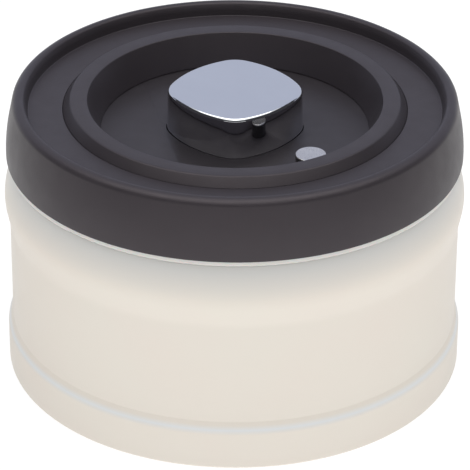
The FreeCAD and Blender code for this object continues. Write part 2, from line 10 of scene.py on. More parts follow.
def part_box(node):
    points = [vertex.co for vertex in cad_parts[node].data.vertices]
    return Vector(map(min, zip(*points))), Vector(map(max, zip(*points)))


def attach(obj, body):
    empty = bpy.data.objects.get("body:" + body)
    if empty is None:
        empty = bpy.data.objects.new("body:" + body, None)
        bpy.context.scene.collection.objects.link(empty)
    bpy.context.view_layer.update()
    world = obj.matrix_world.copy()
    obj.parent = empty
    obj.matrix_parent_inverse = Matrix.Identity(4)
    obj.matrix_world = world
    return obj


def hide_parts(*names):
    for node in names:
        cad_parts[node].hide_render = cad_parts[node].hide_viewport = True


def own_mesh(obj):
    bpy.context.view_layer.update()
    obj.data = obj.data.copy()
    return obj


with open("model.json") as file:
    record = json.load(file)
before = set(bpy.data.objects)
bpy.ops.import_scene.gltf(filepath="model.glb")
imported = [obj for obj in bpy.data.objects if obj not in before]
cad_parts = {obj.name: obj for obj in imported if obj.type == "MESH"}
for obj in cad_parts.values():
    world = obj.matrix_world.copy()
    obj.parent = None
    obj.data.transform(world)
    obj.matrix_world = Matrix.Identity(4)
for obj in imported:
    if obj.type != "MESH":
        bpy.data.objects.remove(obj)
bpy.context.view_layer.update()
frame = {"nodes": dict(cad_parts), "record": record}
nodes = frame["nodes"]

MM = 0.001
TURN_STEPS = 192    # sides of a piece turned about the canister's axis
SMALL_TURN_STEPS = 72    # sides of a small turned piece
ARC_STEP = math.radians(11)    # longest stretch of a rounded corner
ARC_LEAST_STEPS = 4
SHARP = math.radians(32)    # a sharper fold than this keeps its edge
FLAT = math.radians(1)    # a smaller fold than this is taken for flat
SEAM = 1e-6    # points nearer than this are one point
LEVEL = 10 * SEAM    # heights nearer than this are one height


def top(node):
    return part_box(node)[1].z


def bottom(node):
    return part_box(node)[0].z


def reach(node):
    """Outer radius of a node that is round about the canister's axis."""
    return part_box(node)[1].x


# Canister
sheet = 0.9 * MM
base_radius = reach("canister_body")
mouth_z = top("canister_body")
wall_radius = base_radius - 1.29 * MM
base_edge_round = 1.0 * MM
band_round = 2.0 * MM
crease_round = 0.6 * MM
bead_round = 12.0 * MM    # the bead swells softly out of the wall
band_z = 11.0 * MM
band_ramp = 3.0 * MM
wall_z = 43.4 * MM
bead_z = 49.7 * MM
bead_top_z = 52.7 * MM
shoulder_radius = base_radius - 2.32 * MM
shoulder_round = 20.0 * MM
ledge_round = 1.0 * MM
ledge_z = mouth_z - 8.7 * MM
rim_radius = shoulder_radius - 1.5 * MM
rim_depth = 1.6 * MM
rim_round = 0.3 * MM
neck_radius = rim_radius - 0.6 * MM
neck_round = 0.5 * MM
foot_width = 6.0 * MM
foot_recess = 1.2 * MM
base_step_radius = 38.0 * MM    # shallow step pressed into the base
base_step = 0.35 * MM

# Lid cover
lid_edge_radius = reach("lid_cover")
lid_edge_z = ledge_z + 1.5 * MM
lid_edge_round = 0.5 * MM
skirt_radius = lid_edge_radius - 2.5 * MM
skirt_knee_z = lid_edge_z + 5.8 * MM
skirt_bend = 40.0 * MM
crown_z = top("lid_cover")
crown_radius = lid_edge_radius - 2.3 * MM
crown_inner_radius = crown_radius - 2.65 * MM
crown_outer_round = 2.4 * MM
crown_inner_round = 1.2 * MM
crown_swell = (0.45 * MM, 1.6 * MM)    # how far the crown's inner side bulges, and how far down
crown_swell_round = 4.0 * MM
shelf_radius = crown_inner_radius - 1.25 * MM
shelf_z = crown_z - 3.8 * MM
shelf_corner_round = 0.25 * MM
shelf_edge_round = 0.15 * MM
cover_under_z = shelf_z - 2.0 * MM
lid_boss_place = 51.65 * MM
lid_boss_radius = 2.55 * MM
lid_boss_hole = 1.35 * MM
lid_boss_depth = 8.5 * MM
lid_boss_count = 4
lid_boss_start = math.radians(45)    # turn from +X to the first boss
lid_boss_sink = 0.25 * MM    # how far a boss reaches into the cover

# Well
collar_flange_radius = reach("well_collar")
cover_hole_radius = collar_flange_radius - 1.3 * MM
collar_foot_radius = cover_hole_radius - 0.1 * MM
collar_radius = collar_foot_radius - 2.0 * MM
collar_top_z = top("well_collar")
collar_inner_radius = collar_radius - 4.53 * MM
collar_round = 0.8 * MM
collar_inner_round = 0.35 * MM
well_radius = collar_inner_radius - 3.77 * MM
well_wall = 1.8 * MM
well_seam = 0.25 * MM    # round at the foot of the well's wall
floor_z = top("well_floor")
floor_under_z = bottom("well_floor")
floor_thick = floor_z - floor_under_z
floor_radius = reach("well_floor")
collar_seat_z = shelf_z - 3.5 * MM
collar_flange_z = collar_seat_z - 1.5 * MM

# Chrome cap of the pump button
cap_top_z = top("button_cap")
cap_low_z = bottom("button_cap")
cap_draft = 0.45 * MM
cap_half = reach("button_cap") - cap_draft    # axis to the middle of a side, at the top
cap_side_radius = 28.0 * MM
cap_corner_radius = 8.0 * MM
cap_round = 1.1 * MM
cap_round_steps = 10
cap_side_steps = 36
cap_corner_steps = 28
cap_wall = 0.8 * MM
cap_thick = 1.45 * MM
cap_foot = 0.2 * MM    # upright foot under the leaning sides
hole_gap = 0.08 * MM
hole_edge = 0.1 * MM
hole_edge_steps = 3

# Release button
release_low, release_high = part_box("release_cap")
release_centre = (release_low + release_high) / 2
release_radius = (release_high.x - release_low.x) / 2
release_top_z = release_high.z
release_cap_z = release_low.z
release_round = 0.2 * MM
release_dish = 0.22 * MM
release_gap = 0.2 * MM


# Modelling, as by hand

def pick(*parts):
    """Selects some objects, and nothing else; the first is the active one."""
    bpy.ops.object.select_all(action="DESELECT")
    for part in parts:
        part.select_set(True)
    bpy.context.view_layer.objects.active = parts[0]


def select(piece, kind, test):
    """Selects the vertices, edges or faces that pass a test, and nothing else."""
    bpy.ops.mesh.select_mode(type=kind)
    bpy.ops.mesh.select_all(action="DESELECT")
    mesh = bmesh.from_edit_mesh(piece.data)
    parts = {"VERT": mesh.verts, "EDGE": mesh.edges, "FACE": mesh.faces}[kind]
    for part in parts:
        part.select_set(bool(test(part)))
    mesh.select_flush_mode()
    bmesh.update_edit_mesh(piece.data)


def start_point(name, place):
    """A new piece that is one selected point, in edit mode."""
    bpy.ops.object.select_all(action="DESELECT")
    bpy.ops.mesh.primitive_plane_add(size=MM)
    piece = bpy.context.object
    piece.name = name
    piece.data.name = name
    bpy.ops.object.mode_set(mode="EDIT")
    bpy.ops.mesh.select_mode(type="VERT")
    bpy.ops.mesh.select_all(action="SELECT")
    bpy.ops.mesh.merge(type="CENTER")
    bpy.ops.transform.translate(value=place)
    return piece


def draw_section(name, corners, closed):
    """A line through (radius, height) corners; a third number rounds that corner."""
    places = [Vector((corner[0], 0, corner[1])) for corner in corners]
    piece = start_point(name, places[0])
    for here, there in zip(places, places[1:]):
        bpy.ops.mesh.extrude_region_move(TRANSFORM_OT_translate={"value": there - here})
    if closed:
        ends = (places[0], places[-1])
        select(piece, "VERT", lambda point: min((point.co - end).length for end in ends) < SEAM)
        bpy.ops.mesh.edge_face_add()
    for index, corner in enumerate(corners):
        if len(corner) > 2:
            here = places[index]
            before = places[index - 1] - here
            after = places[(index + 1) % len(places)] - here
            angle = before.angle(after)
            select(piece, "VERT", lambda point: (point.co - here).length < SEAM)
            bpy.ops.mesh.bevel(offset=corner[2] / math.tan(angle / 2), affect="VERTICES",
                               segments=max(ARC_LEAST_STEPS, math.ceil((math.pi - angle) / ARC_STEP)),
                               clamp_overlap=True)
    return piece


def close_up():
    """Merges seams and poles and turns every face outwards, on the piece in edit mode."""
    bpy.ops.mesh.select_mode(type="VERT")
    bpy.ops.mesh.select_all(action="SELECT")
    bpy.ops.mesh.remove_doubles(threshold=SEAM)
    bpy.ops.mesh.normals_make_consistent(inside=False)


def turn_section(name, corners, closed=True, steps=TURN_STEPS):
    """A section turned once about the canister's axis, left in edit mode."""
    piece = draw_section(name, corners, closed)
    bpy.ops.mesh.select_all(action="SELECT")
    bpy.ops.mesh.spin(steps=steps, angle=2 * math.pi, center=(0, 0, 0), axis=(0, 0, 1))
    close_up()
    return piece


def draw_soft_square(name, z, offset):
    """The button's outline as a face: one point turned about the centres of its arcs."""
    lean = cap_side_radius - cap_half
    spread = cap_side_radius - cap_corner_radius
    corner_centre = (math.sqrt(2 * spread ** 2 - lean ** 2) - lean) / 2
    half_turn = math.atan2(corner_centre, corner_centre + lean)
    side = cap_side_radius + offset
    start = Vector((-lean + side * math.cos(half_turn), -side * math.sin(half_turn), z))
    piece = start_point(name, start)
    for quarter in range(4):
        facing = Matrix.Rotation(quarter * math.pi / 2, 3, "Z")
        bpy.ops.mesh.spin(steps=cap_side_steps, angle=-2 * half_turn,
                          center=facing @ Vector((-lean, 0, z)), axis=(0, 0, 1))
        bpy.ops.mesh.spin(steps=cap_corner_steps, angle=2 * half_turn - math.pi / 2,
                          center=facing @ Vector((corner_centre, corner_centre, z)), axis=(0, 0, 1))
    bpy.ops.mesh.select_all(action="SELECT")
    bpy.ops.mesh.remove_doubles(threshold=SEAM)
    bpy.ops.mesh.select_all(action="SELECT")
    bpy.ops.mesh.edge_face_add()
    return piece


def extrude(distance):
    """Extrudes what is selected upwards."""
    bpy.ops.mesh.extrude_region_move(TRANSFORM_OT_translate={"value": (0, 0, distance)})


def level_faces(piece, z, way):
    """Selects the flat faces at one height that look up (1) or down (-1)."""
    upright = 0.99
    select(piece, "FACE", lambda face: abs(face.calc_center_median().z - z) < LEVEL
           and face.normal.z * way > upright)


def level_edges(piece, z, test=lambda middle: True):
    """Selects the edges that lie at one height between a level face and a wall."""
    def rim(edge):
        middle = (edge.verts[0].co + edge.verts[1].co) / 2
        level = max(abs(point.co.z - z) for point in edge.verts) < LEVEL
        return level and edge.calc_face_angle(0.0) > SHARP and test(middle)
    select(piece, "EDGE", rim)


def dress(piece, body, slot, *replaced):
    """Finishes a modelled piece: smooth faces, its material, its body and what it stands for."""
    bpy.ops.object.mode_set(mode="OBJECT")
    pick(piece)
    bpy.ops.object.shade_smooth_by_angle(angle=SHARP)
    piece.data.materials.append(finishes[slot])
    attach(piece, body)
    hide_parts(*replaced)


# Finishes

def srgb(red, green, blue):
    """A colour as it is seen on a screen, as the linear colour that a shader takes."""
    linear = []
    for value in (red, green, blue):
        value /= 255
        linear.append(value / 12.92 if value <= 0.04045 else ((value + 0.055) / 1.055) ** 2.4)
    return (*linear, 1.0)


class NodeTree:
    """The nodes of a material or of the world, with short calls that add and link them."""

    def __init__(self, tree):
        self.tree = tree

    def add(self, kind, **settings):
        node = self.tree.nodes.new(kind)
        for name, value in settings.items():
            setattr(node, name, value)
        return node

    def link(self, source, target):
        self.tree.links.new(source, target)

    def put(self, value, socket):
        """Links another node's output to a socket, or sets the socket to a number."""
        if isinstance(value, bpy.types.NodeSocket):
            self.link(value, socket)
        else:
            socket.default_value = value

    def maths(self, operation, *terms):
        """One step of arithmetic on outputs and numbers."""
        node = self.add("ShaderNodeMath", operation=operation)
        for term, socket in zip(terms, node.inputs):
            self.put(term, socket)
        return node.outputs["Value"]

    def spread(self, value, low, high, start=0.3, end=0.7):
        """A value between start and end, spread to the range from low to high."""
        node = self.add("ShaderNodeMapRange")
        self.put(value, node.inputs["Value"])
        for name, number in (("From Min", start), ("From Max", end), ("To Min", low), ("To Max", high)):
            self.put(number, node.inputs[name])
        return node.outputs["Result"]


class Finish(NodeTree):
    """A material about one shader, with patterns in its colour, gloss and relief."""

    def __init__(self, name, colour, roughness, metallic=0.0, **sockets):
        self.material = bpy.data.materials.new(name)
        self.material.use_nodes = True
        super().__init__(self.material.node_tree)
        self.shader = self.tree.nodes["Principled BSDF"]
        self.shader.inputs["Base Color"].default_value = colour
        self.shader.inputs["Roughness"].default_value = roughness
        self.shader.inputs["Metallic"].default_value = metallic
        for socket, value in sockets.items():
            self.shader.inputs[socket.replace("_", " ")].default_value = value
        self.place = self.add("ShaderNodeTexCoord").outputs["Object"]

    def noise(self, size, detail=2.0, place=None, roughness=0.5):
        """Noise whose blotches are about one size across, in metres."""
        node = self.add("ShaderNodeTexNoise")
        node.inputs["Scale"].default_value = 1 / size
        node.inputs["Detail"].default_value = detail
        node.inputs["Roughness"].default_value = roughness
        self.link(place or self.place, node.inputs["Vector"])
        return node.outputs["Fac"]

    def tint(self, value, first, second):
        """Base colour that moves from one colour to another with a value from 0 to 1."""
        node = self.add("ShaderNodeMix", data_type="RGBA")
        node.inputs["A"].default_value = first
        node.inputs["B"].default_value = second
        self.link(value, node.inputs["Factor"])
        self.link(node.outputs["Result"], self.shader.inputs["Base Color"])

    def cover(self, value, colour):
        """Another colour laid over the base colour, by a value from 0 to 1."""
        node = self.add("ShaderNodeMix", data_type="RGBA")
        base = self.shader.inputs["Base Color"]
        self.link(base.links[0].from_socket, node.inputs["A"])
        node.inputs["B"].default_value = colour
        self.link(value, node.inputs["Factor"])
        self.link(node.outputs["Result"], base)

    def height(self):
        """Height above the surface that the canister stands on."""
        split = self.add("ShaderNodeSeparateXYZ")
        self.link(self.place, split.inputs["Vector"])
        return split.outputs["Z"]

    def fade(self, start_z, end_z, colour):
        """Base colour that fades upwards to another colour between two heights."""
        self.cover(self.spread(self.height(), 0, 1, start_z, end_z), colour)

    def band(self, middle_z, half_width, colour):
        """Base colour that turns to another colour about one height."""
        distance = self.maths("ABSOLUTE", self.maths("SUBTRACT", self.height(), middle_z))
        self.cover(self.spread(distance, 1, 0, 0, half_width), colour)

    def gloss(self, value, low, high):
        """Roughness that moves between two levels with a noise."""
        self.link(self.spread(value, low, high), self.shader.inputs["Roughness"])

    def bump(self, value, depth):
        """Relief of a depth in metres."""
        node = self.add("ShaderNodeBump")
        node.inputs["Distance"].default_value = depth
        node.inputs["Strength"].default_value = 1.0
        self.link(value, node.inputs["Height"])
        self.link(node.outputs["Normal"], self.shader.inputs["Normal"])

    def round_place(self, centre=(0, 0, 0), around=20 * MM):
        """Place about an upright axis, for marks that run round it: distance, angle by a length, height."""
        shift = self.add("ShaderNodeVectorMath", operation="SUBTRACT")
        shift.inputs[1].default_value = centre
        self.link(self.place, shift.inputs[0])
        split = self.add("ShaderNodeSeparateXYZ")
        self.link(shift.outputs["Vector"], split.inputs["Vector"])
        flat = self.add("ShaderNodeCombineXYZ")
        self.link(split.outputs["X"], flat.inputs["X"])
        self.link(split.outputs["Y"], flat.inputs["Y"])
        length = self.add("ShaderNodeVectorMath", operation="LENGTH")
        self.link(flat.outputs["Vector"], length.inputs[0])
        angle = self.maths("ARCTAN2", split.outputs["Y"], split.outputs["X"])
        whole = self.add("ShaderNodeCombineXYZ")
        self.link(length.outputs["Value"], whole.inputs["X"])
        self.link(self.maths("MULTIPLY", angle, around), whole.inputs["Y"])
        self.link(split.outputs["Z"], whole.inputs["Z"])
        return whole.outputs["Vector"]


WARM_SHINE = (1.0, 0.9, 0.94, 1.0)    # tint of the dark plastic's reflections


def cream_coat():
    """Satin sprayed coat with a faint orange peel, with painted shade and a painted cool reflection greying
    the shoulder under the lid, and a painted cool reflection on the base band's ramp.
    """
    coat = Finish("cream_coat", srgb(230, 224, 212), 0.4, Specular_IOR_Level=0.3)
    coat.tint(coat.noise(26 * MM, 3.0), srgb(230, 220, 210), srgb(229, 224, 213))
    # painted shade and reflection: the coat turns grey up the shoulder to stand in for the lid's shadow and a
    # cool reflection from above
    shade_low_z = bead_top_z - 1.5 * MM
    shade_high_z = ledge_z - 2 * MM
    coat.fade(shade_low_z, shade_high_z, srgb(208, 207, 204))
    # painted reflection: a paler cool grey on the base band's upward ramp stands in for the light from above
    # that it reflects
    ramp_sheen_z = band_z + 0.9 * MM
    ramp_sheen_half_width = 1.2 * MM
    coat.band(ramp_sheen_z, ramp_sheen_half_width, srgb(228, 230, 231))
    coat.gloss(coat.noise(7 * MM, 3.0), 0.37, 0.45)
    coat.bump(coat.noise(1.1 * MM, 2.0), 0.012 * MM)
    return coat.material


def bare_steel():
    """Spun stainless steel, with fine marks that run round the canister."""
    steel = Finish("bare_steel", srgb(186, 184, 180), 0.3, 1.0, Anisotropic=0.4)
    marks = steel.noise(0.35 * MM, 3.0, steel.round_place())
    steel.tint(steel.noise(18 * MM, 2.0), srgb(180, 178, 174), srgb(194, 192, 188))
    steel.gloss(marks, 0.24, 0.4)
    steel.bump(marks, 0.006 * MM)
    return steel.material


def lid_plastic():
    """Dark moulded plastic with a fine spark-eroded texture."""
    plastic = Finish("lid_plastic", srgb(47, 43, 47), 0.44, Specular_Tint=WARM_SHINE)
    plastic.tint(plastic.noise(15 * MM, 3.0), srgb(45, 41, 45), srgb(49, 45, 49))
    plastic.gloss(plastic.noise(5 * MM, 2.0), 0.41, 0.47)
    plastic.bump(plastic.noise(0.32 * MM, 2.0, roughness=0.65), 0.02 * MM)
    return plastic.material


def floor_plastic():
    """The same plastic with a smoother face."""
    plastic = Finish("floor_plastic", srgb(39, 36, 39), 0.4, Specular_Tint=WARM_SHINE)
    plastic.tint(plastic.noise(12 * MM, 3.0), srgb(37, 34, 37), srgb(41, 38, 41))
    plastic.gloss(plastic.noise(4 * MM, 2.0), 0.37, 0.43)
    plastic.bump(plastic.noise(0.4 * MM, 2.0), 0.006 * MM)
    return plastic.material


def button_gloss():
    """Polished black plastic with a trace of handling."""
    gloss = Finish("button_gloss", srgb(36, 34, 37), 0.12, Coat_Weight=0.6, Coat_Roughness=0.04)
    gloss.tint(gloss.noise(9 * MM, 2.0), srgb(33, 31, 34), srgb(39, 37, 40))
    gloss.gloss(gloss.noise(3 * MM, 4.0), 0.1, 0.16)
    gloss.bump(gloss.noise(2.5 * MM, 1.0), 0.002 * MM)
    return gloss.material


def cap_chrome():
    """Mirror chrome plate with faint wipe marks."""
    chrome = Finish("cap_chrome", srgb(218, 220, 223), 0.05, 1.0)
    chrome.tint(chrome.noise(11 * MM, 2.0), srgb(215, 217, 221), srgb(221, 223, 226))
    chrome.gloss(chrome.noise(2.2 * MM, 5.0), 0.03, 0.075)
    chrome.bump(chrome.noise(6 * MM, 1.0), 0.002 * MM)
    return chrome.material


def release_silver():
    """Satin plate turned with fine rings."""
    silver = Finish("release_silver", srgb(206, 204, 203), 0.28, 1.0)
    rings = silver.noise(0.22 * MM, 3.0, silver.round_place(release_centre, 2 * MM))
    silver.tint(silver.noise(1.4 * MM, 3.0), srgb(192, 190, 189), srgb(219, 217, 216))
    silver.gloss(rings, 0.22, 0.38)
    silver.bump(rings, 0.008 * MM)
    return silver.material


def pan_plastic():
    """Matte moulded plastic on the underside of the lid."""
    plastic = Finish("pan_plastic", srgb(56, 53, 55), 0.46)
    plastic.tint(plastic.noise(20 * MM, 3.0), srgb(53, 50, 52), srgb(59, 56, 58))
    plastic.gloss(plastic.noise(6 * MM, 2.0), 0.4, 0.52)
    plastic.bump(plastic.noise(0.5 * MM, 2.0), 0.012 * MM)
    return plastic.material


def pump_plastic():
    """Natural moulded plastic, slightly waxy."""
    plastic = Finish("pump_plastic", srgb(222, 220, 214), 0.4, Subsurface_Weight=0.1, Subsurface_Scale=0.002)
    plastic.tint(plastic.noise(8 * MM, 3.0), srgb(218, 216, 209), srgb(226, 224, 219))
    plastic.gloss(plastic.noise(3 * MM, 2.0), 0.36, 0.46)
    plastic.bump(plastic.noise(0.8 * MM, 2.0), 0.008 * MM)
    return plastic.material


def silicone():
    """Milky silicone with a powdery surface."""
    rubber = Finish("silicone", srgb(212, 210, 205), 0.5, Subsurface_Weight=0.2, Subsurface_Scale=0.003,
                    Sheen_Weight=0.15)
    rubber.tint(rubber.noise(6 * MM, 3.0), srgb(206, 204, 199), srgb(217, 215, 211))
    rubber.gloss(rubber.noise(2 * MM, 2.0), 0.45, 0.58)
    rubber.bump(rubber.noise(0.3 * MM, 2.0), 0.006 * MM)
    return rubber.material


def valve_silicone():
    """Grey silicone of the valves and the piston's ring."""
    rubber = Finish("valve_silicone", srgb(150, 150, 150), 0.48, Sheen_Weight=0.1)
    rubber.tint(rubber.noise(3 * MM, 3.0), srgb(144, 144, 144), srgb(157, 157, 157))
    rubber.gloss(rubber.noise(1.5 * MM, 2.0), 0.42, 0.55)
    rubber.bump(rubber.noise(0.3 * MM, 2.0), 0.005 * MM)
    return rubber.material


def spring_steel():
    """Drawn wire, a little darker than plate."""
    wire = Finish("spring_steel", srgb(170, 170, 173), 0.3, 1.0)
    wire.tint(wire.noise(2 * MM, 3.0), srgb(158, 158, 162), srgb(182, 182, 185))
    wire.gloss(wire.noise(0.6 * MM, 3.0), 0.24, 0.38)
    wire.bump(wire.noise(0.15 * MM, 2.0), 0.003 * MM)
    return wire.material


def screw_steel():
    """Plated steel with a fine dull grain."""
    plate = Finish("screw_steel", srgb(186, 186, 188), 0.3, 1.0)
    plate.tint(plate.noise(1.2 * MM, 3.0), srgb(172, 172, 175), srgb(198, 198, 200))
    plate.gloss(plate.noise(0.5 * MM, 3.0), 0.24, 0.4)
    plate.bump(plate.noise(0.2 * MM, 2.0), 0.004 * MM)
    return plate.material


finishes = {make.__name__: make() for make in (
    cream_coat, bare_steel, lid_plastic, floor_plastic, button_gloss, cap_chrome, release_silver,
    pan_plastic, pump_plastic, silicone, valve_silicone, spring_steel, screw_steel)}


# Pieces

def canister_shell():
    """Drawn canister: one wall from the foot to the rolled rim, coated outside and bare inside."""
    foot_edge = base_radius - base_edge_round - foot_width
    recess_edge = foot_edge - foot_recess
    step_edge = base_step_radius - 2 * base_step
    neck_low_z = ledge_z - sheet
    ramp_z = band_z + band_ramp
    piece = turn_section("canister_shell", [
        (0, foot_recess + base_step), (step_edge, foot_recess + base_step, crease_round),
        (base_step_radius, foot_recess, crease_round), (recess_edge, foot_recess, crease_round),
        (foot_edge, 0, crease_round), (base_radius, 0, base_edge_round), (base_radius, band_z, band_round),
        (wall_radius, ramp_z, crease_round), (wall_radius, wall_z, bead_round),
        (base_radius, bead_z, bead_round), (base_radius, bead_top_z, shoulder_round),
        (shoulder_radius, ledge_z, ledge_round), (neck_radius, ledge_z, neck_round),
        (neck_radius, mouth_z - rim_depth, rim_round), (rim_radius, mouth_z - rim_depth, rim_round),
        (rim_radius, mouth_z, rim_round), (neck_radius - sheet, mouth_z, rim_round),
        (neck_radius - sheet, neck_low_z, neck_round), (shoulder_radius - sheet, neck_low_z, ledge_round),
        (base_radius - sheet, bead_top_z, shoulder_round), (base_radius - sheet, bead_z, band_round),
        (wall_radius - sheet, wall_z, crease_round), (wall_radius - sheet, ramp_z, crease_round),
        (base_radius - sheet, band_z, band_round), (base_radius - sheet, sheet, base_edge_round),
        (foot_edge, sheet, crease_round), (recess_edge, foot_recess + sheet, crease_round),
        (base_step_radius, foot_recess + sheet, crease_round),
        (step_edge, foot_recess + base_step + sheet, crease_round),
        (0, foot_recess + base_step + sheet)], closed=False)
    dress(piece, "canister", "cream_coat", "canister_body")
    piece.data.materials.append(finishes["bare_steel"])
    inward = -0.1    # a face turned this far to the axis is on the inner wall
    upward = 0.5    # a face turned this far up, below the band's edge, is on the inner base
    for face in piece.data.polygons:
        outwards = Vector((face.center.x, face.center.y, 0)).normalized()
        inner_wall = face.normal.dot(outwards) < inward and face.center.z > sheet
        inner_base = face.normal.z > upward and face.center.z < band_z
        lip = face.center.z > ledge_z + neck_round
        face.material_index = int(inner_wall or inner_base or lip)


def lid_cover_shell():
    """Cover of the lid, with the screw bosses under its shelf."""
    piece = turn_section("lid_cover_shell", [
        (skirt_radius, lid_edge_z), (lid_edge_radius, lid_edge_z, lid_edge_round),
        (lid_edge_radius, skirt_knee_z, skirt_bend),
        (crown_radius, crown_z, crown_outer_round), (crown_inner_radius, crown_z, crown_inner_round),
        (shelf_radius + crown_swell[0], crown_z - crown_swell[1], crown_swell_round),
        (shelf_radius, shelf_z, shelf_corner_round), (cover_hole_radius, shelf_z, shelf_edge_round),
        (cover_hole_radius, collar_seat_z), (collar_flange_radius, collar_seat_z),
        (collar_flange_radius, cover_under_z), (skirt_radius, cover_under_z)])
    bpy.ops.object.mode_set(mode="OBJECT")
    bosses = []
    boss_low = bottom("lid_cover")
    for index in range(lid_boss_count):
        angle = lid_boss_start + index * 2 * math.pi / lid_boss_count
        bosses.append(screw_boss(f"lid_boss_{index}", lid_boss_place * math.cos(angle),
                                 lid_boss_place * math.sin(angle), boss_low))
    pick(piece, *bosses)
    bpy.ops.object.join()
    dress(piece, "lid", "lid_plastic", "lid_cover")


def screw_boss(name, x, y, low):
    """Round boss with a blind hole from below; its top is sunk in the cover."""
    boss = turn_section(name, [
        (0, low + lid_boss_depth), (lid_boss_hole, low + lid_boss_depth), (lid_boss_hole, low),
        (lid_boss_radius, low), (lid_boss_radius, cover_under_z + lid_boss_sink),
        (0, cover_under_z + lid_boss_sink)],
        closed=False, steps=SMALL_TURN_STEPS)
    bpy.ops.transform.translate(value=(x, y, 0))
    bpy.ops.object.mode_set(mode="OBJECT")
    return boss


def well_collar_ring():
    """Raised ring with sloped sides, down to the well floor and to a flange that the cover holds down."""
    slope = (collar_inner_radius - well_radius) / (collar_top_z - floor_z)
    roof_z = collar_top_z - well_wall
    under_radius = well_radius + well_wall + slope * (roof_z - floor_z)
    piece = turn_section("well_collar_ring", [
        (well_radius, floor_z, well_seam), (well_radius + well_wall, floor_z), (under_radius, roof_z),
        (collar_foot_radius - well_wall, roof_z), (collar_foot_radius - well_wall, collar_flange_z),
        (collar_flange_radius, collar_flange_z), (collar_flange_radius, collar_seat_z),
        (collar_foot_radius, collar_seat_z), (collar_foot_radius, shelf_z),
        (collar_radius, collar_top_z, collar_round), (collar_inner_radius, collar_top_z, collar_inner_round)])
    dress(piece, "lid", "lid_plastic", "well_collar")


def well_floor_disc():
    """Floor of the well with an eased hole for each button."""
    draft_share = (cap_top_z - floor_under_z) / (cap_top_z - cap_low_z)
    hole_offset = cap_draft * draft_share + hole_gap
    spare = MM    # how far a cutter passes the floor
    cutters = [draw_soft_square("button_hole", floor_under_z - spare, hole_offset)]
    extrude(floor_thick + 2 * spare)
    close_up()
    bpy.ops.object.mode_set(mode="OBJECT")
    bpy.ops.object.select_all(action="DESELECT")
    bpy.ops.mesh.primitive_cylinder_add(
        vertices=SMALL_TURN_STEPS, radius=release_radius + release_gap, depth=floor_thick + 2 * spare,
        location=(release_centre.x, release_centre.y, floor_z - floor_thick / 2))
    cutters.append(bpy.context.object)
    piece = turn_section("well_floor_disc", [
        (0, floor_under_z), (floor_radius, floor_under_z), (floor_radius, floor_z), (0, floor_z)],
        closed=False)
    bpy.ops.mesh.select_all(action="SELECT")
    bpy.ops.mesh.dissolve_limited(angle_limit=FLAT)
    bpy.ops.object.mode_set(mode="OBJECT")
    for cutter in cutters:
        cut = piece.modifiers.new(cutter.name, "BOOLEAN")
        cut.object = cutter
        cut.solver = "EXACT"
        bpy.ops.object.modifier_apply(modifier=cut.name)
        bpy.data.objects.remove(cutter)
    bpy.ops.object.mode_set(mode="EDIT")
    level_edges(piece, floor_z, lambda middle: middle.xy.length < well_radius)
    bpy.ops.mesh.bevel(offset=hole_edge, segments=hole_edge_steps, affect="EDGES")
    close_up()
    dress(piece, "lid", "floor_plastic", "well_floor")


def button_cap_shell():
    """Chrome cap: leaning sides, a rounded upper edge and the hollow that holds the core."""
    piece = draw_soft_square("button_cap_shell", cap_low_z, cap_draft)
    extrude(cap_foot)
    close_up()
    level_faces(piece, cap_low_z + cap_foot, 1)
    bpy.ops.mesh.inset(thickness=cap_draft, depth=cap_top_z - cap_low_z - cap_foot)
    close_up()
    level_edges(piece, cap_top_z)
    bpy.ops.mesh.bevel(offset=cap_round, segments=cap_round_steps, affect="EDGES")
    level_faces(piece, cap_low_z, -1)
    bpy.ops.mesh.inset(thickness=cap_wall, depth=0)
    extrude(cap_top_z - cap_thick - cap_low_z)
    close_up()
    dress(piece, "pump", "cap_chrome", "button_cap")


def release_cap_disc():
    """Silver disc, slightly dished for a fingertip."""
    dish_radius = release_radius - 2 * release_round
    piece = turn_section("release_cap_disc", [
        (0, release_cap_z), (release_radius, release_cap_z), (release_radius, release_top_z, release_round),
        (dish_radius, release_top_z, release_round), (dish_radius / 2, release_top_z - release_dish),
        (0, release_top_z - release_dish)], closed=False, steps=SMALL_TURN_STEPS)
    bpy.ops.transform.translate(value=(release_centre.x, release_centre.y, 0))
    dress(piece, "release", "release_silver", "release_cap")


def spring_coil(node, slot):
    """A coil spring of the lid, as the solid has it."""
    piece = bpy.data.objects.new(node + "_coil", nodes[node].data.copy())
    piece.data.name = piece.name
    piece.data.materials.clear()
    bpy.context.scene.collection.objects.link(piece)
    pick(piece)
    bpy.ops.object.mode_set(mode="EDIT")
    close_up()
    dress(piece, "lid", slot, node)
    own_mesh(piece)


canister_shell()
lid_cover_shell()
well_collar_ring()
well_floor_disc()
button_cap_shell()
release_cap_disc()
spring_coil("return_spring", "spring_steel")
spring_coil("release_spring", "spring_steel")

# Every solid wears the finish of its slot
for row in frame["record"]["subparts"]:
    node = nodes[row["node"]]
    for holder in node.material_slots:
        holder.material = finishes[row["material_slot"]]


# Studio: camera, world, floor, cards and lamp; angles are in degrees

